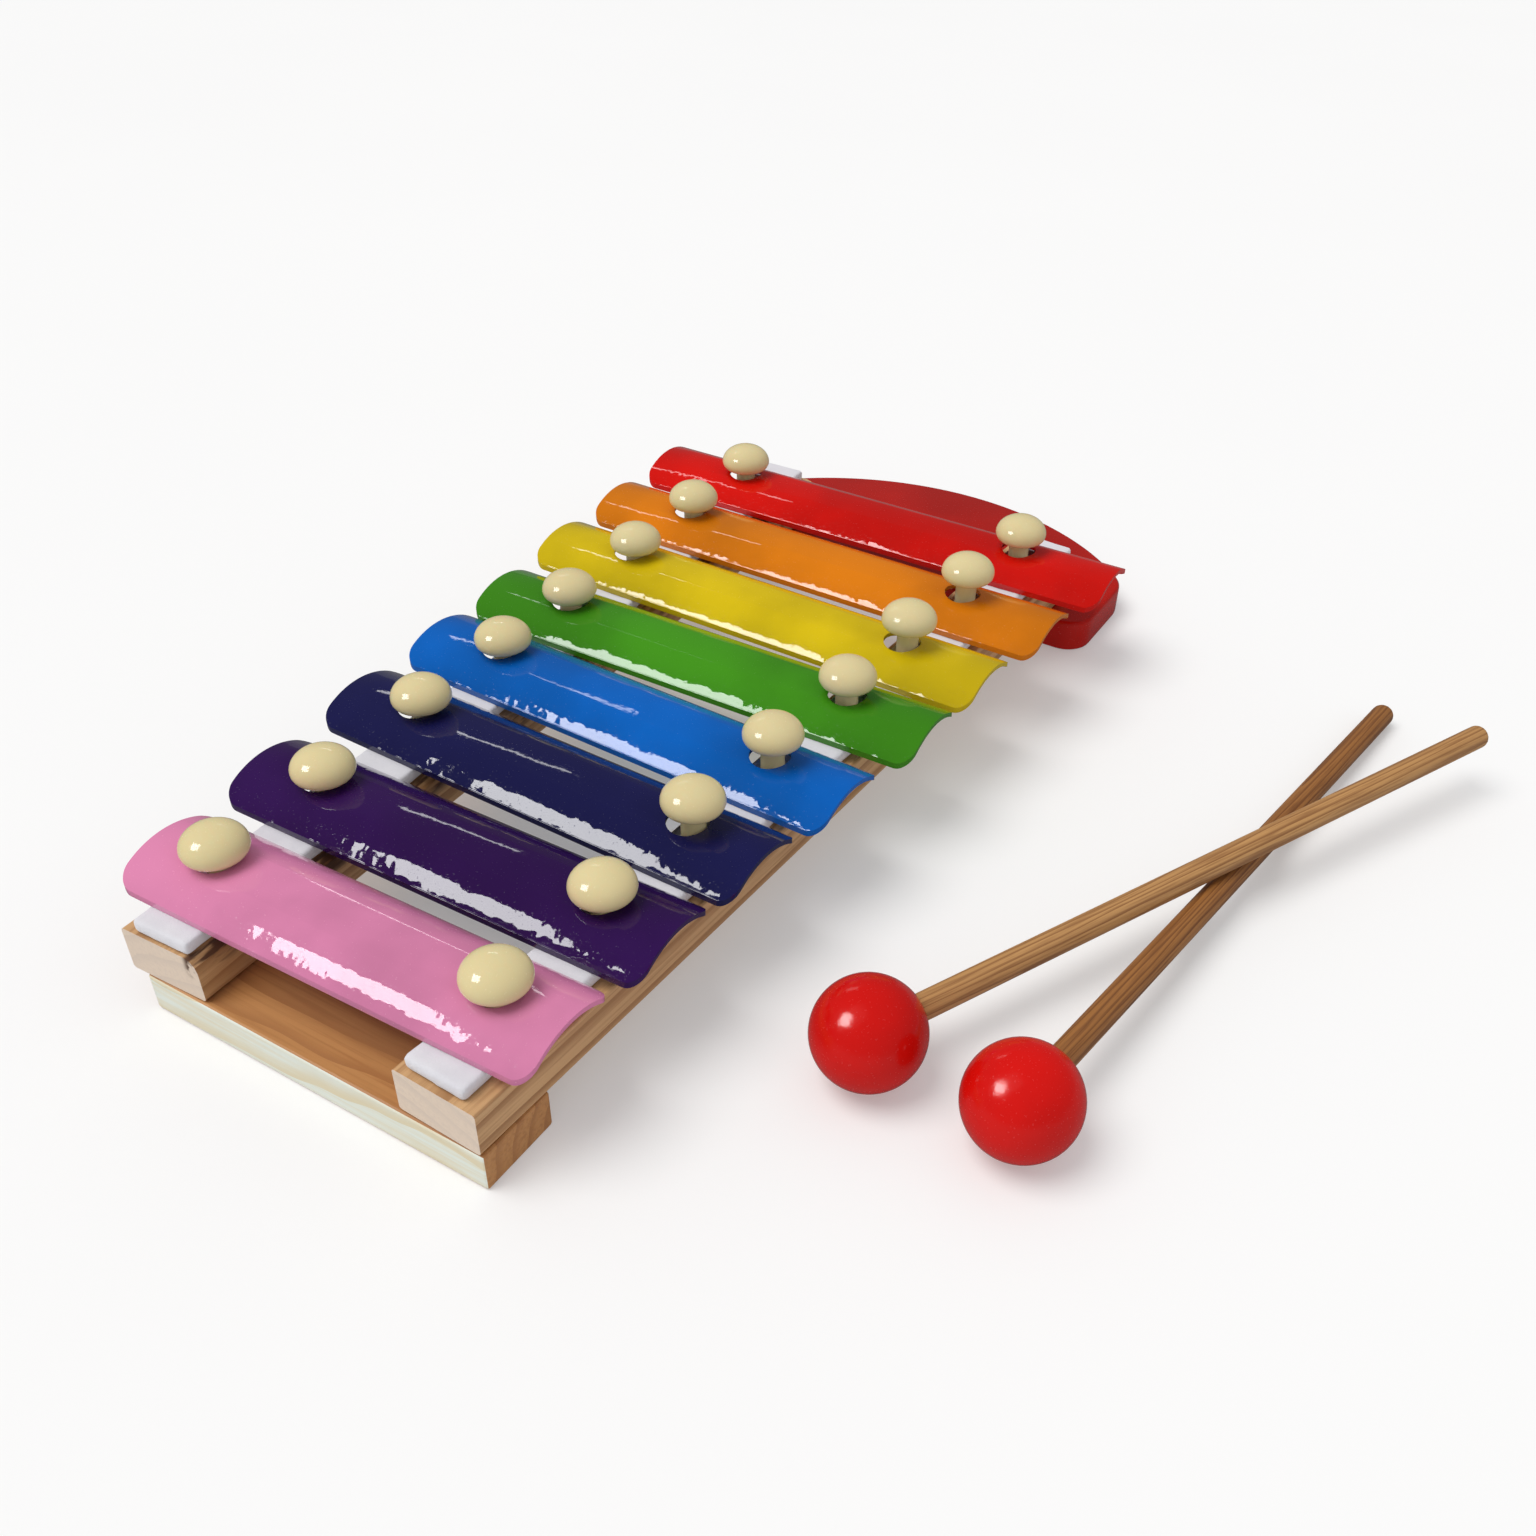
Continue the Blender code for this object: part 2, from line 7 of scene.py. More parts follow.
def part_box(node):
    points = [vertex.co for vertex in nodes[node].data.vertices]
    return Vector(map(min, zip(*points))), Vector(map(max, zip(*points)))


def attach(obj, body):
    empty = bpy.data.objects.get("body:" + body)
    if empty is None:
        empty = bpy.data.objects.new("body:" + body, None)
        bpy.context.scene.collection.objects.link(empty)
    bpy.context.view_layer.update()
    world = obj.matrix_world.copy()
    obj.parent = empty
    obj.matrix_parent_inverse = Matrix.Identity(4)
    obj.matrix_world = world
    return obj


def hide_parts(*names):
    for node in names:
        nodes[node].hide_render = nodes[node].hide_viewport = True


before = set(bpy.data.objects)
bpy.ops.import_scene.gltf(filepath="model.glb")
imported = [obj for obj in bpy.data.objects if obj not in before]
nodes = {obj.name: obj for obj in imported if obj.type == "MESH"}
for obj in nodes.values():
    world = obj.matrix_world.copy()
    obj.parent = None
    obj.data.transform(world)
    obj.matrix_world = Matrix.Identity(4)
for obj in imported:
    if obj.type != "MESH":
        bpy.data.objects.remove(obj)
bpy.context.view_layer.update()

print("frame loaded,", len(nodes), "nodes")

# the bars from the near end: name, paint, skew in degrees
barRows = [
    ("pink", (0.690, 0.230, 0.410), 1.0),
    ("purple", (0.030, 0.005, 0.078), 0.6),
    ("navy", (0.011, 0.011, 0.080), -1.3),
    ("blue", (0.002, 0.122, 0.515), -1.8),
    ("green", (0.054, 0.280, 0.010), 0.8),
    ("yellow", (0.690, 0.505, 0.006), -0.6),
    ("orange", (0.700, 0.198, 0.005), 0.0),
    ("red", (0.650, 0.006, 0.003), 1.0),
]


# working with one piece at a time

def pickOnly(piece):
    bpy.ops.object.select_all(action="DESELECT")
    piece.select_set(True)
    bpy.context.view_layer.objects.active = piece


def takeNew(name):
    piece = bpy.context.active_object
    piece.name = name
    piece.data.name = name
    pickOnly(piece)
    return piece


def settle(piece, place=(0, 0, 0), turn=(0, 0, 0)):
    pickOnly(piece)
    piece.location = place
    piece.rotation_euler = turn
    bpy.ops.object.transform_apply(location=True, rotation=True, scale=True)


def addBlock(name, low, high):
    low, high = Vector(low), Vector(high)
    bpy.ops.object.select_all(action="DESELECT")
    bpy.ops.mesh.primitive_cube_add(size=1, location=(low + high) / 2, scale=high - low)
    piece = takeNew(name)
    bpy.ops.object.transform_apply(location=True, rotation=True, scale=True)
    return piece


def addRound(name, radius, depth, place, turn=(0, 0, 0), sides=64):
    bpy.ops.object.select_all(action="DESELECT")
    size = {"vertices": sides, "radius": radius, "depth": depth}
    bpy.ops.mesh.primitive_cylinder_add(location=place, rotation=turn, **size)
    piece = takeNew(name)
    bpy.ops.object.transform_apply(location=True, rotation=True, scale=True)
    return piece


def applyAll(piece):
    pickOnly(piece)
    for modifier in list(piece.modifiers):
        bpy.ops.object.modifier_apply(modifier=modifier.name)


def carve(piece, tool, operation="DIFFERENCE"):
    cut = piece.modifiers.new("cut", "BOOLEAN")
    cut.operation = operation
    cut.solver = "EXACT"
    cut.object = tool
    applyAll(piece)
    bpy.data.objects.remove(tool, do_unlink=True)


def soften(piece, width, segments=3, angle=40):
    edge = piece.modifiers.new("edge", "BEVEL")
    edge.width = width
    edge.segments = segments
    edge.limit_method = "ANGLE"
    edge.angle_limit = math.radians(angle)
    applyAll(piece)


def smoothOut(piece, angle=30):
    pickOnly(piece)
    bpy.ops.object.shade_smooth_by_angle(angle=math.radians(angle))


def roundEdges(piece, wanted, offset, segments):
    # rounds the edges whose two ends pass the test
    pickOnly(piece)
    bpy.ops.object.mode_set(mode="EDIT")
    bpy.ops.mesh.select_mode(type="EDGE")
    bpy.ops.mesh.select_all(action="DESELECT")
    bpy.ops.object.mode_set(mode="OBJECT")
    points = piece.data.vertices
    for edge in piece.data.edges:
        edge.select = wanted(points[edge.vertices[0]].co, points[edge.vertices[1]].co)
    bpy.ops.object.mode_set(mode="EDIT")
    bpy.ops.mesh.bevel(offset=offset, segments=segments, affect="EDGES")
    bpy.ops.object.mode_set(mode="OBJECT")


def drawLine(name, points):
    # one vertex, drawn out from point to point, and left selected in edit mode
    bpy.ops.object.select_all(action="DESELECT")
    bpy.ops.mesh.primitive_plane_add(size=0.001, location=(0, 0, 0))
    piece = takeNew(name)
    bpy.ops.object.mode_set(mode="EDIT")
    bpy.ops.mesh.select_mode(type="VERT")
    bpy.ops.mesh.select_all(action="SELECT")
    bpy.ops.mesh.merge(type="CENTER")
    bpy.ops.transform.translate(value=points[0])
    for here, there in zip(points, points[1:]):
        step = tuple(end - start for start, end in zip(here, there))
        bpy.ops.mesh.extrude_region_move(TRANSFORM_OT_translate={"value": step})
    bpy.ops.mesh.select_all(action="SELECT")
    return piece


def turnOnLathe(name, profile, sides):
    # a profile of radius and height, spun about Z
    piece = drawLine(name, [(radius, 0, height) for radius, height in profile])
    bpy.ops.mesh.spin(steps=sides, angle=2 * math.pi, center=(0, 0, 0), axis=(0, 0, 1))
    bpy.ops.mesh.select_all(action="SELECT")
    bpy.ops.mesh.remove_doubles(threshold=0.000002)
    bpy.ops.mesh.normals_make_consistent(inside=False)
    bpy.ops.object.mode_set(mode="OBJECT")
    smoothOut(piece, 40)
    return piece


def drawSlab(name, outline, low, high):
    # an outline, filled and drawn up to its thickness
    piece = drawLine(name, [(x, y, low) for x, y in outline])
    bpy.ops.mesh.edge_face_add()
    bpy.ops.mesh.extrude_region_move(TRANSFORM_OT_translate={"value": (0, 0, high - low)})
    bpy.ops.mesh.select_all(action="SELECT")
    bpy.ops.mesh.normals_make_consistent(inside=False)
    bpy.ops.object.mode_set(mode="OBJECT")
    return piece


def arcPoints(centre, across, up, start, end, steps):
    angles = [math.radians(start + (end - start) * step / steps) for step in range(steps + 1)]
    return [(centre[0] + across * math.cos(a), centre[1] + up * math.sin(a)) for a in angles]


def copyPiece(piece, name):
    twin = piece.copy()
    twin.data = piece.data.copy()
    twin.name = name
    twin.data.name = name
    bpy.context.scene.collection.objects.link(twin)
    return twin


def coat(piece, material):
    piece.data.materials.clear()
    piece.data.materials.append(material)


def finishPiece(piece, material, slotName, body, *replaced):
    coat(piece, material)
    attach(piece, body)
    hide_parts(*replaced)


# shader groups, each built once

def put(tree, kind, sockets=None, **settings):
    made = tree.nodes.new(kind)
    for key, value in settings.items():
        setattr(made, key, value)
    for label, value in (sockets or {}).items():
        if isinstance(value, bpy.types.NodeSocket):
            tree.links.new(value, made.inputs[label])
        else:
            made.inputs[label].default_value = value
    return made


def objectSpot(tree):
    return put(tree, "ShaderNodeTexCoord").outputs["Object"]


def mixColour(tree, factor, first, second, blend="MIX"):
    sockets = {0: factor, 6: first, 7: second}
    return put(tree, "ShaderNodeMix", sockets, data_type="RGBA", blend_type=blend).outputs[2]


def rerange(tree, value, low, high, toLow=0.0, toHigh=1.0):
    sockets = {0: value, 1: low, 2: high, 3: toLow, 4: toHigh}
    return put(tree, "ShaderNodeMapRange", sockets, interpolation_type="SMOOTHSTEP").outputs[0]


def noiseAt(tree, spot, scale, detail, distortion=0.0):
    sockets = {"Vector": spot, "Scale": scale, "Detail": detail, "Distortion": distortion}
    return put(tree, "ShaderNodeTexNoise", sockets).outputs[0]


def bumpOf(tree, height, distance, strength=1.0, under=None, **settings):
    sockets = {"Strength": strength, "Distance": distance, "Height": height}
    if under is not None:
        sockets["Normal"] = under
    return put(tree, "ShaderNodeBump", sockets, **settings).outputs[0]


def calc(tree, operation, first, second):
    return put(tree, "ShaderNodeMath", {0: first, 1: second}, operation=operation).outputs[0]


def stretched(tree, vector, factor):
    # draws a pattern out along Y
    along = put(tree, "ShaderNodeCombineXYZ", {0: 1.0, 1: factor, 2: 1.0}).outputs[0]
    return put(tree, "ShaderNodeVectorMath", {0: vector, 1: along}, operation="MULTIPLY").outputs[0]


def facingOf(tree):
    # the three parts of the surface normal
    normal = put(tree, "ShaderNodeNewGeometry").outputs["Normal"]
    return put(tree, "ShaderNodeSeparateXYZ", {0: normal}).outputs


groupGives = {"Color": "Color", "Roughness": "Float", "Normal": "Vector"}


def newGroup(name, takes):
    group = bpy.data.node_groups.new(name, "ShaderNodeTree")
    for label, kind in takes.items():
        group.interface.new_socket(name=label, in_out="INPUT", socket_type="NodeSocket" + kind)
    for label, kind in groupGives.items():
        group.interface.new_socket(name=label, in_out="OUTPUT", socket_type="NodeSocket" + kind)
    return group, group.nodes.new("NodeGroupInput").outputs, group.nodes.new("NodeGroupOutput").inputs


paintLook = {
    "waveDetail": 3.0, "slopes": (0.80, 0.97), "crownShare": 0.22, "peelDetail": 2.0,
    "cloudScale": 26.0, "cloudDetail": 4.0, "cloudRange": (0.35, 0.65), "shade": (0.62, 0.62, 0.62),
    "speckScale": 2600.0, "speckDetail": 1.0, "speckRange": (0.66, 0.74), "speckDull": 0.25,
}


def buildPaintSkin():
    # waves and fine orange peel in gloss paint, with soft clouds and dull specks
    takes = {"Color": "Color", "Wave Scale": "Float", "Wave Height": "Float", "Peel Scale": "Float"}
    takes.update({"Peel Height": "Float", "Gloss": "Float", "Cloudiness": "Float"})
    group, given, out = newGroup("paintSkin", takes)
    spot = objectSpot(group)
    # the sheet is calm along its crown and wavier towards its edges
    calm = rerange(group, facingOf(group)[2], *paintLook["slopes"], 1.0, paintLook["crownShare"])
    slow = noiseAt(group, spot, given["Wave Scale"], paintLook["waveDetail"])
    waves = bumpOf(group, slow, given["Wave Height"], calm)
    fine = noiseAt(group, spot, given["Peel Scale"], paintLook["peelDetail"])
    peel = bumpOf(group, fine, given["Peel Height"], 1.0, waves)
    cloud = noiseAt(group, spot, paintLook["cloudScale"], paintLook["cloudDetail"])
    share = calc(group, "MULTIPLY", rerange(group, cloud, *paintLook["cloudRange"]), given["Cloudiness"])
    darker = mixColour(group, 1.0, given["Color"], (*paintLook["shade"], 1), "MULTIPLY")
    speck = noiseAt(group, spot, paintLook["speckScale"], paintLook["speckDetail"])
    dull = rerange(group, speck, *paintLook["speckRange"], 0.0, paintLook["speckDull"])
    group.links.new(mixColour(group, share, given["Color"], darker), out["Color"])
    group.links.new(calc(group, "ADD", given["Gloss"], dull), out["Roughness"])
    group.links.new(peel, out["Normal"])
    return group


grainLook = {
    "ringDetail": 2.0, "ringDetailScale": 0.9, "lateWood": (0.45, 1.0),
    "fibreStretch": 0.03, "fibreDetail": 4.0, "streaks": (0.42, 0.72), "streakShare": 0.75,
    "patchScale": 160.0, "patchDetail": 3.0, "patches": (0.35, 0.70), "patchShare": 0.35,
    "dullFrom": (0.3, 0.7), "roughness": (0.42, 0.62),
}


def buildWoodGrain():
    # growth rings about Y with long fibres; the end faces show the rings as arcs
    takes = {"Vector": "Vector", "Pale": "Color", "Dark": "Color", "Ring Scale": "Float"}
    takes.update({"Waviness": "Float", "Fibre Scale": "Float", "Fibre Depth": "Float", "Stretch": "Float"})
    group, given, out = newGroup("woodGrain", takes)
    drawn = stretched(group, given["Vector"], given["Stretch"])
    sockets = {"Vector": drawn, "Scale": given["Ring Scale"], "Distortion": given["Waviness"]}
    sockets.update({"Detail": grainLook["ringDetail"], "Detail Scale": grainLook["ringDetailScale"]})
    form = {"wave_type": "RINGS", "rings_direction": "Y", "wave_profile": "SAW"}
    rings = put(group, "ShaderNodeTexWave", sockets, **form).outputs["Fac"]
    late = rerange(group, rings, *grainLook["lateWood"])
    ringed = mixColour(group, late, given["Pale"], given["Dark"])
    long = stretched(group, given["Vector"], grainLook["fibreStretch"])
    fibre = noiseAt(group, long, given["Fibre Scale"], grainLook["fibreDetail"])
    streak = rerange(group, fibre, *grainLook["streaks"], 0.0, grainLook["streakShare"])
    fibred = mixColour(group, streak, ringed, given["Dark"])
    broad = noiseAt(group, drawn, grainLook["patchScale"], grainLook["patchDetail"])
    patch = rerange(group, broad, *grainLook["patches"], 0.0, grainLook["patchShare"])
    middle = mixColour(group, 0.5, given["Pale"], given["Dark"])
    rough = rerange(group, fibre, *grainLook["dullFrom"], *grainLook["roughness"])
    group.links.new(mixColour(group, patch, fibred, middle), out["Color"])
    group.links.new(rough, out["Roughness"])
    group.links.new(bumpOf(group, fibre, given["Fibre Depth"], invert=True), out["Normal"])
    return group


paintSkin = buildPaintSkin()
woodGrain = buildWoodGrain()
print("shader groups built")


def newMaterial(name, colour, settings):
    material = bpy.data.materials.new(name)
    material.use_nodes = True
    material.diffuse_color = (*colour, 1)
    shader = material.node_tree.nodes["Principled BSDF"]
    shader.inputs["Base Color"].default_value = (*colour, 1)
    for label, value in settings.items():
        shader.inputs[label].default_value = value
    return material, material.node_tree, shader


def useGroup(tree, shader, group, sockets):
    skin = put(tree, "ShaderNodeGroup", sockets, node_tree=group)
    for output, label in (("Color", "Base Color"), ("Roughness", "Roughness"), ("Normal", "Normal")):
        tree.links.new(skin.outputs[output], shader.inputs[label])
    return skin


def glossPaint(name, colour, look, finish):
    material, tree, shader = newMaterial(name, colour, finish)
    sockets = {"Color": (*colour, 1), "Wave Scale": look["waves"], "Wave Height": look["waveHeight"]}
    sockets.update({"Peel Scale": look["peelScale"], "Peel Height": look["peel"]})
    sockets.update({"Gloss": look["gloss"], "Cloudiness": look["clouds"]})
    useGroup(tree, shader, paintSkin, sockets)
    return material


def ownSpot(tree, place, turn):
    # coordinates in the piece's own frame
    sockets = {"Vector": objectSpot(tree), "Location": place, "Rotation": turn}
    return put(tree, "ShaderNodeMapping", sockets, vector_type="TEXTURE").outputs[0]


def woodSpot(tree, look):
    # laid so that the grain runs along Y
    own = ownSpot(tree, look["place"], look["turn"])
    sockets = {"Vector": own, "Location": look["centre"], "Rotation": look["lay"]}
    return put(tree, "ShaderNodeMapping", sockets, vector_type="POINT").outputs[0]


def woodSockets(tree, look):
    sockets = {"Vector": woodSpot(tree, look), "Pale": (*look["pale"], 1), "Dark": (*look["dark"], 1)}
    sockets.update({"Ring Scale": look["rings"], "Waviness": look["waviness"], "Stretch": look["stretch"]})
    sockets.update({"Fibre Scale": look["fibres"], "Fibre Depth": look["depth"]})
    return sockets


paintFinish = {"IOR": 1.52}
woodFinish = {"IOR": 1.48}


def grainedWood(name, look):
    material, tree, shader = newMaterial(name, look["pale"], woodFinish)
    skin = useGroup(tree, shader, woodGrain, woodSockets(tree, look))
    return material, tree, shader, skin


# the rails: warm tan, with the grain along the splay; their near end faces are painted paler, a painted
# highlight where the light falls
railLook = {
    "pale": (0.600, 0.360, 0.170), "dark": (0.350, 0.170, 0.065), "lay": (0, 0, 0),
    "centre": (0.011, 0, 0.016), "rings": 78.0, "waviness": 3.2, "fibres": 1300.0,
    "stretch": 0.16, "depth": 0.00004, "splay": 2.03,
    "litEndPale": (0.840, 0.740, 0.640), "litEnds": (-0.6, -0.9), "litEndShare": 0.7,
    "bark": (0.100, 0.042, 0.018), "barkInner": (0.0050, 0.0066), "barkHigh": (0.0120, 0.0145),
    "barkStretch": 0.15, "barkScale": 420.0, "barkDetail": 5.0, "barkGaps": (0.44, 0.56),
}


def barkShare(tree, place, turn):
    # a ragged strip of bark left along the rounded inner top edge
    own = ownSpot(tree, place, turn)
    parts = put(tree, "ShaderNodeSeparateXYZ", {0: own}).outputs
    inner = rerange(tree, parts[0], *railLook["barkInner"])
    high = rerange(tree, parts[2], *railLook["barkHigh"])
    drawn = stretched(tree, own, railLook["barkStretch"])
    noise = noiseAt(tree, drawn, railLook["barkScale"], railLook["barkDetail"])
    ragged = rerange(tree, noise, *railLook["barkGaps"])
    return calc(tree, "MULTIPLY", calc(tree, "MULTIPLY", inner, high), ragged)


def makeRails():
    for side, word in ((-1, "left"), (1, "right")):
        low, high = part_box("rail_" + word)
        look = dict(railLook)
        look["place"] = ((low.x + high.x) / 2, (low.y + high.y) / 2, 0)
        look["turn"] = (0, 0, math.radians(-side * look["splay"]))
        look["centre"] = (look["centre"][0] * side, 0, look["centre"][2])
        material, tree, shader, skin = grainedWood("railWood" + word.title(), look)
        # painted highlight: the near end faces, turned to the light, are painted paler
        litEnds = rerange(tree, facingOf(tree)[1], *look["litEnds"])
        litEndColour = mixColour(tree, look["litEndShare"], skin.outputs["Color"], (*look["litEndPale"], 1))
        surface = mixColour(tree, litEnds, skin.outputs["Color"], litEndColour)
        if word == "left":
            bark = barkShare(tree, look["place"], look["turn"])
            surface = mixColour(tree, bark, surface, (*look["bark"], 1))
        tree.links.new(surface, shader.inputs["Base Color"])
        rail = nodes["rail_" + word]
        coat(rail, material)


# the near board: one pine shown twice, its front face painted pale as lit and its top and ends painted
# browner as shaded
litFrontLook = {
    "pale": (0.790, 0.835, 0.760), "dark": (0.750, 0.660, 0.450), "place": (0, 0, 0), "turn": (0, 0, 0),
    "lay": (0, 0, math.radians(90)), "centre": (0.002, 0, -0.030), "rings": 44.0, "waviness": 9.0,
    "fibres": 900.0, "stretch": 0.55, "depth": 0.00003, "front": (-0.5, -0.8),
}
shadedTopLook = dict(litFrontLook, pale=(0.520, 0.250, 0.085), dark=(0.390, 0.170, 0.056), rings=62.0, stretch=0.30)
shadedTopLook.update({"centre": (0.030, 0, 0.012), "fibres": 1500.0})


def makeNearBoard():
    material, tree, shader, skin = grainedWood("nearBoardPine", litFrontLook)
    shadedTopGrain = put(tree, "ShaderNodeGroup", woodSockets(tree, shadedTopLook), node_tree=woodGrain)
    # painted light and shade: faces turned to the front get the pale lit look, all others the browner
    # shaded look
    front = rerange(tree, facingOf(tree)[1], *litFrontLook["front"])
    surface = mixColour(tree, front, shadedTopGrain.outputs["Color"], skin.outputs["Color"])
    tree.links.new(surface, shader.inputs["Base Color"])
    board = nodes["near_board"]
    coat(board, material)


# the screws: dull zinc
screwLook = {
    "colour": (0.56, 0.54, 0.49), "pale": (0.62, 0.60, 0.54), "dark": (0.44, 0.42, 0.38),
    "grain": 1800.0, "detail": 4.0, "dullFrom": (0.3, 0.7), "roughness": (0.25, 0.5),
}


def makeScrews():
    material, tree, shader = newMaterial("zincScrew", screwLook["colour"], {"Metallic": 1.0})
    spot = objectSpot(tree)
    grain = noiseAt(tree, spot, screwLook["grain"], screwLook["detail"])
    rough = rerange(tree, grain, *screwLook["dullFrom"], *screwLook["roughness"])
    tone = mixColour(tree, grain, (*screwLook["pale"], 1), (*screwLook["dark"], 1))
    tree.links.new(rough, shader.inputs["Roughness"])
    tree.links.new(tone, shader.inputs["Base Color"])
    for board in ("near", "far"):
        for word in ("left", "right"):
            screw = nodes["screw_%s_%s" % (board, word)]
            coat(screw, material)


makeRails()
makeNearBoard()
makeScrews()
print("rails, near board and screws finished")


# the far board: a D in plan, gloss dark red
farStyle = {
    "arcRadius": 0.070, "frontRadius": 0.0063, "sideRadius": 0.010, "edge": 0.0009,
    "frontSteps": 10, "sideSteps": 8, "arcSteps": 90, "edgeSteps": 4,
    "paint": (0.460, 0.008, 0.004), "waves": 40.0, "waveHeight": 0.00010, "peelScale": 900.0,
    "peel": 0.000005, "gloss": 0.12, "clouds": 0.6,
}


def boardOutline(low, high):
    # straight front, rounded corners and an arc behind
    half, middle = (high.x - low.x) / 2, (high.x + low.x) / 2
    front, side, arc = farStyle["frontRadius"], farStyle["sideRadius"], farStyle["arcRadius"]
    frontSteps, sideSteps = farStyle["frontSteps"], farStyle["sideSteps"]
    arcY = high.y - arc
    sideY = arcY + math.sqrt((arc - side) ** 2 - (half - side) ** 2)
    turn = math.degrees(math.atan2(sideY - arcY, half - side))
    outline = arcPoints((middle + half - front, low.y + front), front, front, -90, 0, frontSteps)
    outline += arcPoints((middle + half - side, sideY), side, side, 0, turn, sideSteps)
    outline += arcPoints((middle, arcY), arc, arc, turn, 180 - turn, farStyle["arcSteps"])[1:]
    outline += arcPoints((middle - half + side, sideY), side, side, 180 - turn, 180, sideSteps)[1:]
    outline += arcPoints((middle - half + front, low.y + front), front, front, 180, 270, frontSteps)
    return outline


def makeFarBoard():
    low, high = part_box("far_board")
    board = drawSlab("farBoard", boardOutline(low, high), low.z, high.z)
    soften(board, farStyle["edge"], farStyle["edgeSteps"], 50)
    smoothOut(board, 35)
    material = glossPaint("farBoardRed", farStyle["paint"], farStyle, paintFinish)
    finishPiece(board, material, "board_red", "frame", "far_board")


makeFarBoard()
print("far board finished")


# the felt strips: cut edges gone soft, pierced by the peg stems
stripStyle = {
    "width": 0.0124, "round": 0.0007, "sink": 0.0003, "lift": 0.00025, "holeRadius": 0.0026,
    "holeSides": 32, "drill": 0.02, "voxel": 0.0005, "lumps": 0.00022, "lumpSize": 0.004,
}
feltLook = {
    "colour": (0.760, 0.760, 0.790), "pale": (0.720, 0.715, 0.750), "dark": (0.600, 0.590, 0.640),
    "fibres": 2200.0, "fibreDetail": 6.0, "twist": 1.2, "mats": 260.0, "matDetail": 4.0,
    "dullFrom": (0.3, 0.7), "roughness": (0.85, 1.0), "fuzz": 0.8, "fuzzDepth": 0.00012,
}
feltFinish = {"Sheen Weight": 0.35, "Sheen Roughness": 0.6, "Specular IOR Level": 0.2}


def feltMaterial():
    material, tree, shader = newMaterial("whiteFelt", feltLook["colour"], feltFinish)
    spot = objectSpot(tree)
    fibre = noiseAt(tree, spot, feltLook["fibres"], feltLook["fibreDetail"], feltLook["twist"])
    matted = noiseAt(tree, spot, feltLook["mats"], feltLook["matDetail"])
    tone = mixColour(tree, matted, (*feltLook["pale"], 1), (*feltLook["dark"], 1))
    rough = rerange(tree, fibre, *feltLook["dullFrom"], *feltLook["roughness"])
    tree.links.new(tone, shader.inputs["Base Color"])
    tree.links.new(rough, shader.inputs["Roughness"])
    tree.links.new(bumpOf(tree, fibre, feltLook["fuzzDepth"], feltLook["fuzz"]), shader.inputs["Normal"])
    return material


def pegCentre(name, word):
    low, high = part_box("peg_%s_%s" % (name, word))
    return (low + high) / 2


def makeStrips():
    material = feltMaterial()
    lumps = bpy.data.textures.new("feltLumps", "CLOUDS")
    lumps.noise_scale = stripStyle["lumpSize"]
    for side, word in ((-1, "left"), (1, "right")):
        low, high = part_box("felt_strip_" + word)
        size = high - low
        splay = math.atan((size.x - stripStyle["width"]) / size.y)
        length = (size.y - stripStyle["width"] * math.sin(splay)) / math.cos(splay)
        half = Vector((stripStyle["width"] / 2, length / 2, 0))
        bottom = Vector((0, 0, low.z - stripStyle["sink"]))
        top = Vector((0, 0, high.z + stripStyle["lift"]))
        strip = addBlock("feltStrip" + word.title(), bottom - half, top + half)
        soften(strip, stripStyle["round"], 3)
        settle(strip, ((low.x + high.x) / 2, (low.y + high.y) / 2, 0), (0, 0, -side * splay))
        for row in barRows:
            spot = pegCentre(row[0], word)
            place, sides = (spot.x, spot.y, low.z), stripStyle["holeSides"]
            hole = addRound("hole", stripStyle["holeRadius"], stripStyle["drill"], place, sides=sides)
            carve(strip, hole)
        voxels = strip.modifiers.new("voxels", "REMESH")
        voxels.mode = "VOXEL"
        voxels.voxel_size = stripStyle["voxel"]
        rough = strip.modifiers.new("rough", "DISPLACE")
        rough.texture = lumps
        rough.texture_coords = "LOCAL"
        rough.strength = stripStyle["lumps"]
        rough.mid_level = 1.0
        applyAll(strip)
        pickOnly(strip)
        bpy.ops.object.shade_smooth()
        finishPiece(strip, material, "white_felt", "frame", "felt_strip_" + word)


makeStrips()
print("felt strips finished")


# the sound bars: arched sheet, rounded corners, a loose hole for each peg
barStyle = {
    "width": 0.0215, "sheet": 0.0009, "rise": 0.0042, "cornerRadius": 0.0032, "holeRadius": 0.00395,
    "shortest": 0.086, "longest": 0.1216, "sides": 240, "edge": 0.00022, "spare": 0.004,
    "blankLow": -0.001, "blankHigh": 0.010, "drill": 0.04, "cornerSteps": 10, "edgeSteps": 3,
    "waves": 115.0, "waveHeight": 0.00042, "peelScale": 900.0, "peel": 0.000004, "gloss": 0.045,
    "clouds": 0.7,
}


def standsUp(first, second):
    return abs(first.z - second.z) > barStyle["blankHigh"] / 2


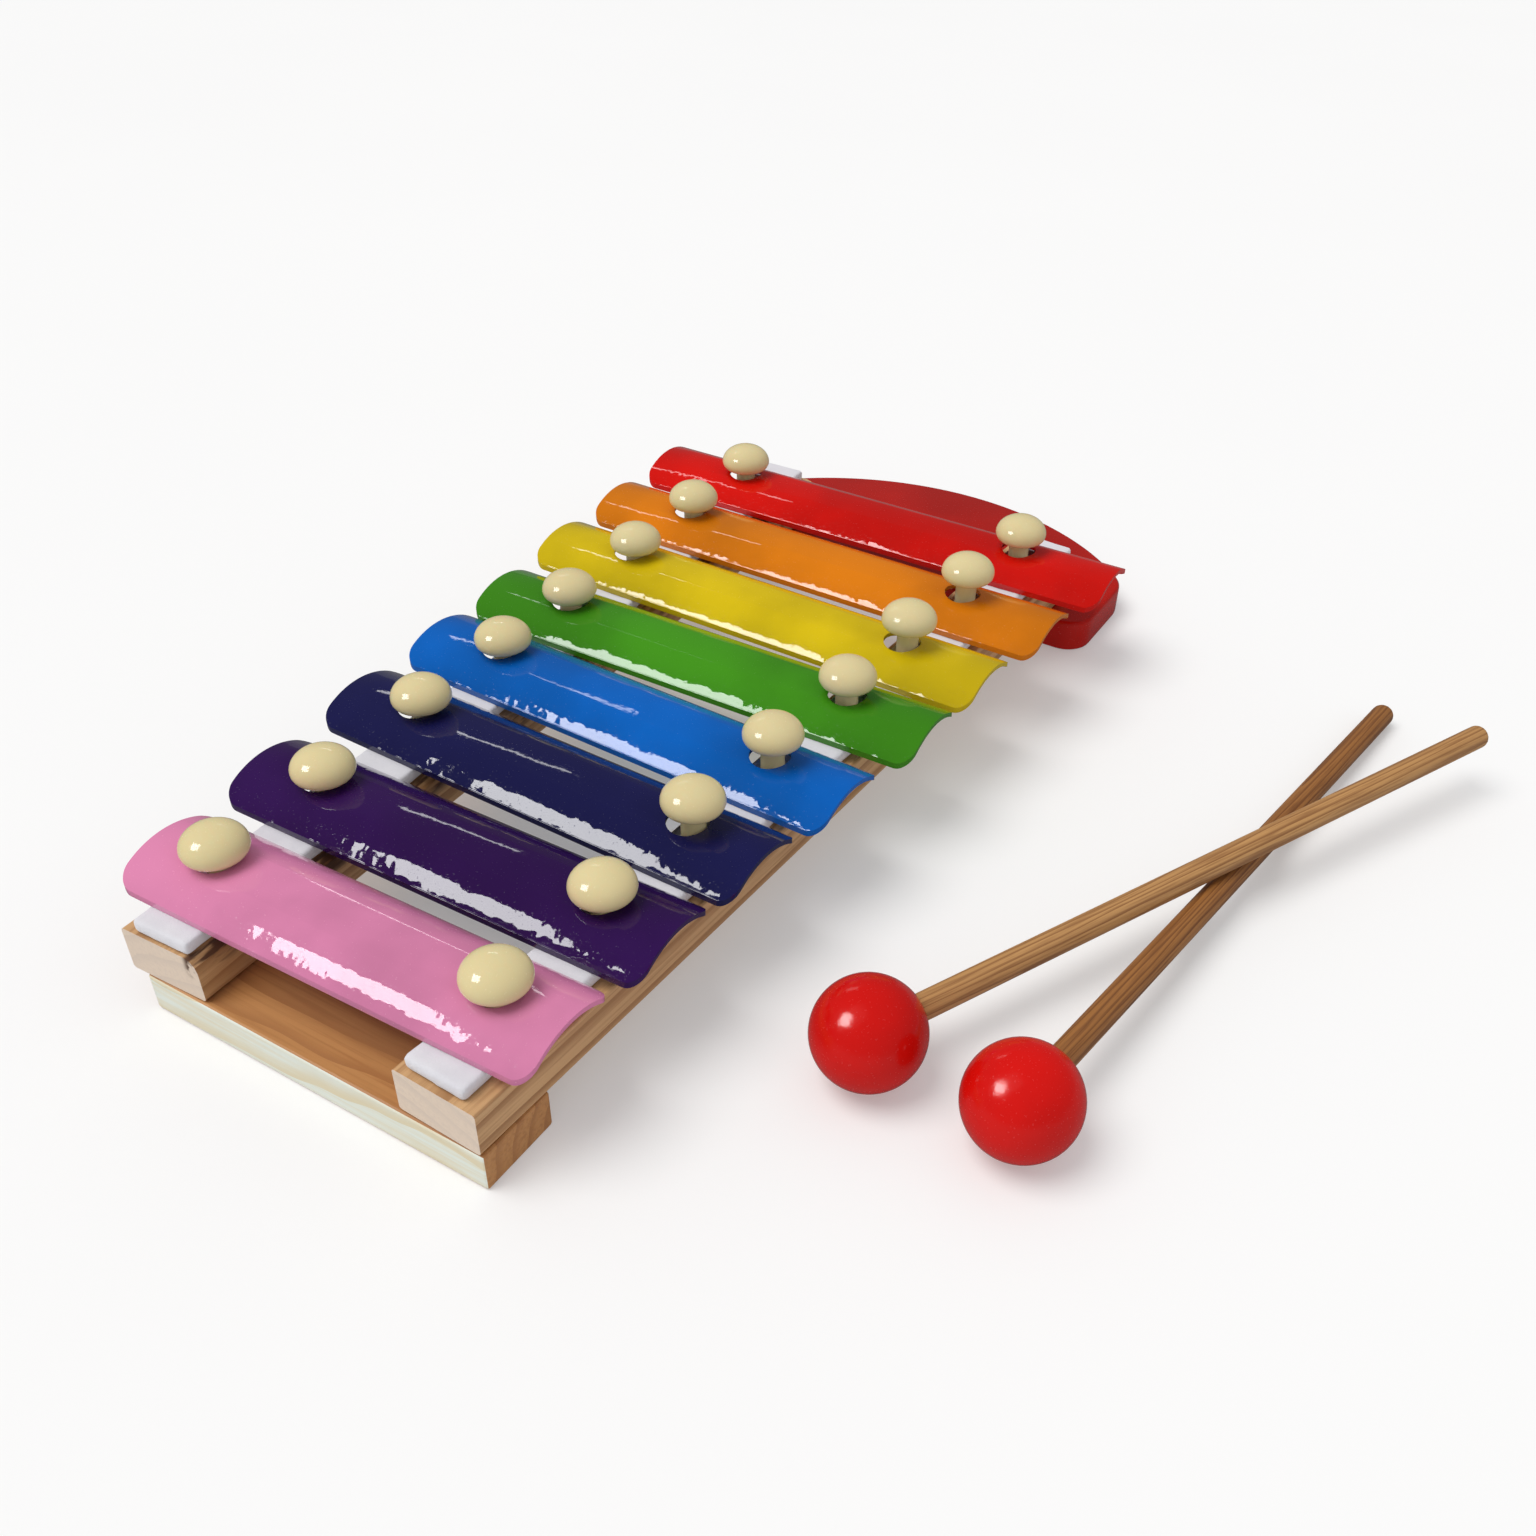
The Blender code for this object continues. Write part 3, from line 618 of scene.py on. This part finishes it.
def makeBars():
    halfWidth = barStyle["width"] / 2
    outer = (halfWidth ** 2 + barStyle["rise"] ** 2) / (2 * barStyle["rise"])
    inner = outer - barStyle["sheet"]
    drop = -math.sqrt(inner ** 2 - halfWidth ** 2)
    growth = (barStyle["longest"] - barStyle["shortest"]) / (len(barRows) - 1)
    for index, (name, paint, skew) in enumerate(barRows):
        low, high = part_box("bar_" + name)
        halfLength = (barStyle["shortest"] + growth * index) / 2
        reach = (pegCentre(name, "right") - pegCentre(name, "left")).xy.length / 2
        run = 2 * halfLength + barStyle["spare"]
        across = (0, math.radians(90), 0)
        bar = addRound("bar" + name.title(), outer, run, (0, 0, drop), across, barStyle["sides"])
        carve(bar, addRound("bore", inner, 2 * run, (0, 0, drop), across, barStyle["sides"]))
        bottom = (-halfLength, -halfWidth, barStyle["blankLow"])
        blank = addBlock("blank", bottom, (halfLength, halfWidth, barStyle["blankHigh"]))
        roundEdges(blank, standsUp, barStyle["cornerRadius"], barStyle["cornerSteps"])
        for side in (-1, 1):
            carve(blank, addRound("hole", barStyle["holeRadius"], barStyle["drill"], (side * reach, 0, 0)))
        carve(bar, blank, "INTERSECT")
        soften(bar, barStyle["edge"], barStyle["edgeSteps"], 50)
        smoothOut(bar, 30)
        settle(bar, ((low.x + high.x) / 2, (low.y + high.y) / 2, low.z), (0, 0, math.radians(skew)))
        material = glossPaint("paint" + name.title(), paint, barStyle, paintFinish)
        finishPiece(bar, material, "paint_" + name, name + "_bar", "bar_" + name)


makeBars()
print("bars finished")


# the pegs: moulded mushroom caps on round stems
pegStyle = {
    "capRadius": 0.0058, "dome": 0.0040, "undercut": 0.0018, "stemRadius": 0.0023, "stemLength": 0.0163,
    "chamfer": 0.0005, "fillet": 0.0006, "sides": 56, "filletSteps": 5, "rimSteps": 8, "domeSteps": 14,
    "colour": (0.695, 0.592, 0.325), "waves": 120.0, "waveHeight": 0.00001, "peelScale": 1500.0,
    "peel": 0.0000006, "gloss": 0.1, "clouds": 0.1,
}
pegFinish = {"Subsurface Weight": 0.12, "Subsurface Scale": 0.002, "IOR": 1.49}


def pegProfile():
    stem, fillet, tip = pegStyle["stemRadius"], pegStyle["fillet"], -pegStyle["stemLength"]
    rim = pegStyle["undercut"]
    profile = [(0, tip), (stem - pegStyle["chamfer"], tip), (stem, tip + pegStyle["chamfer"])]
    profile += arcPoints((stem + fillet, -fillet), fillet, fillet, 180, 90, pegStyle["filletSteps"])
    profile += arcPoints((pegStyle["capRadius"] - rim, rim), rim, rim, -90, 0, pegStyle["rimSteps"])
    dome = arcPoints((0, rim), pegStyle["capRadius"], pegStyle["dome"], 0, 90, pegStyle["domeSteps"])
    return profile + dome[1:-1] + [(0, rim + pegStyle["dome"])]


def makePegs():
    material = glossPaint("ivoryPlastic", pegStyle["colour"], pegStyle, pegFinish)
    master = turnOnLathe("pegMaster", pegProfile(), pegStyle["sides"])
    capHeight = pegStyle["undercut"] + pegStyle["dome"]
    for name, _, _ in barRows:
        for word in ("left", "right"):
            node = "peg_%s_%s" % (name, word)
            low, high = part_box(node)
            peg = copyPiece(master, "peg" + name.title() + word.title())
            settle(peg, ((low.x + high.x) / 2, (low.y + high.y) / 2, high.z - capHeight))
            finishPiece(peg, material, "ivory_plastic", "frame", node)
    bpy.data.objects.remove(master, do_unlink=True)


makePegs()
print("pegs finished")


# the mallets: painted balls on bamboo sticks, one lying across the other
malletStyle = {
    "ballRadius": 0.0099, "socketDepth": 0.012, "socketGap": 0.00012, "stickRadius": 0.00245,
    "reach": 0.1573, "tipRadius": 0.0016, "seatGap": 0.0003, "sides": 64, "paint": (0.650, 0.004, 0.002),
    "ballSteps": 44, "wallPoint": 0.8, "stickRings": 24, "tipSteps": 8, "stickSides": 32,
    "waves": 330.0, "waveHeight": 0.00009, "peelScale": 900.0, "peel": 0.000012, "gloss": 0.16,
    "clouds": 0.5,
}
malletRows = {
    "upper": {"place": (0.0755, 0.0436), "heading": math.radians(64.0)},
    "lower": {"place": (0.1027, 0.0438), "heading": math.radians(82.3)},
}
bambooLook = {
    "lay": (math.radians(-90), 0, 0), "centre": (0.004, 0, 0.006), "rings": 300.0, "waviness": 9.0,
    "stretch": 0.05, "fibres": 2400.0, "depth": 0.00006,
}
bambooShades = {
    "upper": {"pale": (0.520, 0.275, 0.098), "dark": (0.250, 0.105, 0.032)},
    "lower": {"pale": (0.350, 0.145, 0.036), "dark": (0.160, 0.055, 0.014)},
}


def malletSlopes():
    ball, stick = malletStyle["ballRadius"], malletStyle["stickRadius"]
    upper, lower = malletRows["upper"], malletRows["lower"]
    fall = math.asin((stick - ball) / malletStyle["reach"])
    gap = Vector(lower["place"]) - Vector(upper["place"])
    turn = math.sin(lower["heading"] - upper["heading"])
    alongUpper = (gap.x * math.sin(lower["heading"]) - gap.y * math.cos(lower["heading"])) / turn
    alongLower = (gap.x * math.sin(upper["heading"]) - gap.y * math.cos(upper["heading"])) / turn
    rise = alongLower * math.tan(fall) + 2 * stick / math.cos(fall) + malletStyle["seatGap"]
    return {"upper": math.atan2(rise, alongUpper), "lower": fall}


def ballProfile():
    ball = malletStyle["ballRadius"]
    socket = malletStyle["stickRadius"] + malletStyle["socketGap"]
    floor = ball - malletStyle["socketDepth"]
    rim = math.degrees(math.acos(socket / ball))
    profile = arcPoints((0, 0), ball, ball, -90, rim, malletStyle["ballSteps"])
    profile[0] = (0, -ball)
    return profile + [(socket, ball * malletStyle["wallPoint"]), (socket, floor), (0, floor)]


def stickProfile():
    radius, tip, reach = malletStyle["stickRadius"], malletStyle["tipRadius"], malletStyle["reach"]
    low = malletStyle["ballRadius"] - malletStyle["socketDepth"] + malletStyle["seatGap"]
    rings = malletStyle["stickRings"]
    profile = [(0, low), (radius, low)]
    profile += [(radius, low + (reach - tip - low) * step / rings) for step in range(1, rings)]
    profile += arcPoints((radius - tip, reach - tip), tip, tip, 0, 90, malletStyle["tipSteps"])
    return profile + [(0, reach)]


def makeMallets():
    slopes = malletSlopes()
    headPaint = glossPaint("malletRed", malletStyle["paint"], malletStyle, paintFinish)
    for word, row in malletRows.items():
        place = (*row["place"], malletStyle["ballRadius"])
        turn = (0, math.pi / 2 - slopes[word], row["heading"])
        ball = turnOnLathe("malletBall" + word.title(), ballProfile(), malletStyle["sides"])
        settle(ball, place, turn)
        finishPiece(ball, headPaint, "mallet_red", word + "_mallet", "mallet_head_" + word)
        stick = turnOnLathe("malletStick" + word.title(), stickProfile(), malletStyle["stickSides"])
        settle(stick, place, turn)
        look = dict(bambooLook, place=place, turn=turn, **bambooShades[word])
        bamboo = grainedWood("bamboo" + word.title(), look)[0]
        finishPiece(stick, bamboo, "bamboo", word + "_mallet", "mallet_stick_" + word)


makeMallets()
print("mallets finished")


# floor, lights and camera
floorStyle = {
    "size": 40.0, "colour": (0.64, 0.64, 0.64), "patches": (0.62, 0.62, 0.62), "glow": (0.26, 0.26, 0.26),
    "inGloss": (0.12, 0.12, 0.12), "glowInGloss": (0.05, 0.05, 0.05),
    "patchScale": 4.0, "patchDetail": 3.0, "drop": 0.0001,
    "finish": {"Roughness": 0.85, "Specular IOR Level": 0.1, "Emission Strength": 1.0},
}
daylight = {
    "from": (-0.34, -0.30, 0.90), "aim": (0, 0, 0), "strength": 1.9, "softness": 38.0,
    "colour": (1.0, 0.985, 0.96),
}
glintRows = [
    # lights that only show in gloss: name, place, width, height, roll in degrees, watts
    ("windowGlint", (-0.452, -0.430, 0.664), 0.340, 0.330, 47.7, 4.3),
    ("tubeGlint", (-0.182, 0.222, 0.200), 0.095, 0.008, -28.0, 0.012),
]
glintAim = (0.0, 0.03, 0.02)
# the room lights evenly, shows little in gloss and looks white where it is seen
worldStyle = {"colour": (0.98, 0.985, 1.0), "strength": 0.60, "inGloss": 0.10, "seen": 0.95}
cameraStyle = {
    "place": (0.14598, -0.10471, 0.18206),
    "right": (0.86004, 0.50930, 0.03066),
    "up": (-0.33806, 0.52381, 0.78188),
    "back": (0.38215, -0.68282, 0.62267),
    "lens": 33.93, "sensor": 36.0, "shiftX": -0.0269, "shiftY": 0.0399, "clipStart": 0.01,
}


def hangLight(lamp, place, aim):
    light = bpy.data.objects.new(lamp.name, lamp)
    bpy.context.scene.collection.objects.link(light)
    light.location = place
    light.rotation_euler = (Vector(aim) - Vector(place)).to_track_quat("-Z", "Y").to_euler()
    return light


def makeFloor():
    bpy.ops.object.select_all(action="DESELECT")
    bpy.ops.mesh.primitive_plane_add(size=floorStyle["size"], location=(0, 0, -floorStyle["drop"]))
    floor = takeNew("floor")
    material, tree, shader = newMaterial("paleFloor", floorStyle["colour"], floorStyle["finish"])
    spot = objectSpot(tree)
    cloud = noiseAt(tree, spot, floorStyle["patchScale"], floorStyle["patchDetail"])
    inGloss = put(tree, "ShaderNodeLightPath").outputs["Is Glossy Ray"]
    tone = mixColour(tree, cloud, (*floorStyle["colour"], 1), (*floorStyle["patches"], 1))
    tone = mixColour(tree, inGloss, tone, (*floorStyle["inGloss"], 1))
    glow = mixColour(tree, inGloss, (*floorStyle["glow"], 1), (*floorStyle["glowInGloss"], 1))
    tree.links.new(tone, shader.inputs["Base Color"])
    tree.links.new(glow, shader.inputs["Emission Color"])
    floor.data.materials.append(material)


def makeLights():
    sun = bpy.data.lights.new("daylight", "SUN")
    sun.energy = daylight["strength"]
    sun.angle = math.radians(daylight["softness"])
    sun.color = daylight["colour"]
    light = hangLight(sun, daylight["from"], daylight["aim"])
    light.visible_glossy = False
    for name, place, width, height, roll, watts in glintRows:
        lamp = bpy.data.lights.new(name, "AREA")
        lamp.shape = "RECTANGLE"
        lamp.size = width
        lamp.size_y = height
        lamp.energy = watts
        light = hangLight(lamp, place, glintAim)
        light.rotation_euler.rotate_axis("Z", math.radians(roll))
        light.visible_diffuse = False
        light.visible_camera = False


def makeWorld():
    world = bpy.data.worlds.new("studio")
    world.use_nodes = True
    background = world.node_tree.nodes["Background"]
    background.inputs["Color"].default_value = (*worldStyle["colour"], 1)
    path = put(world.node_tree, "ShaderNodeLightPath").outputs
    sockets = {0: path["Is Glossy Ray"], 3: worldStyle["strength"], 4: worldStyle["inGloss"]}
    glossy = put(world.node_tree, "ShaderNodeMapRange", sockets).outputs[0]
    sockets = {0: path["Is Camera Ray"], 2: glossy, 3: worldStyle["seen"]}
    strength = put(world.node_tree, "ShaderNodeMix", sockets, data_type="FLOAT").outputs[0]
    world.node_tree.links.new(strength, background.inputs["Strength"])
    bpy.context.scene.world = world


def makeCamera():
    lens = bpy.data.cameras.new("camera")
    lens.sensor_width = cameraStyle["sensor"]
    lens.lens = cameraStyle["lens"]
    lens.shift_x = cameraStyle["shiftX"]
    lens.shift_y = cameraStyle["shiftY"]
    lens.clip_start = cameraStyle["clipStart"]
    camera = bpy.data.objects.new("camera", lens)
    bpy.context.scene.collection.objects.link(camera)
    axes = Matrix((cameraStyle["right"], cameraStyle["up"], cameraStyle["back"])).transposed()
    camera.matrix_world = Matrix.Translation(cameraStyle["place"]) @ axes.to_4x4()
    bpy.context.scene.camera = camera


makeFloor()
makeLights()
makeWorld()
makeCamera()
bpy.context.scene.view_settings.view_transform = "Standard"
print("stage and camera set")
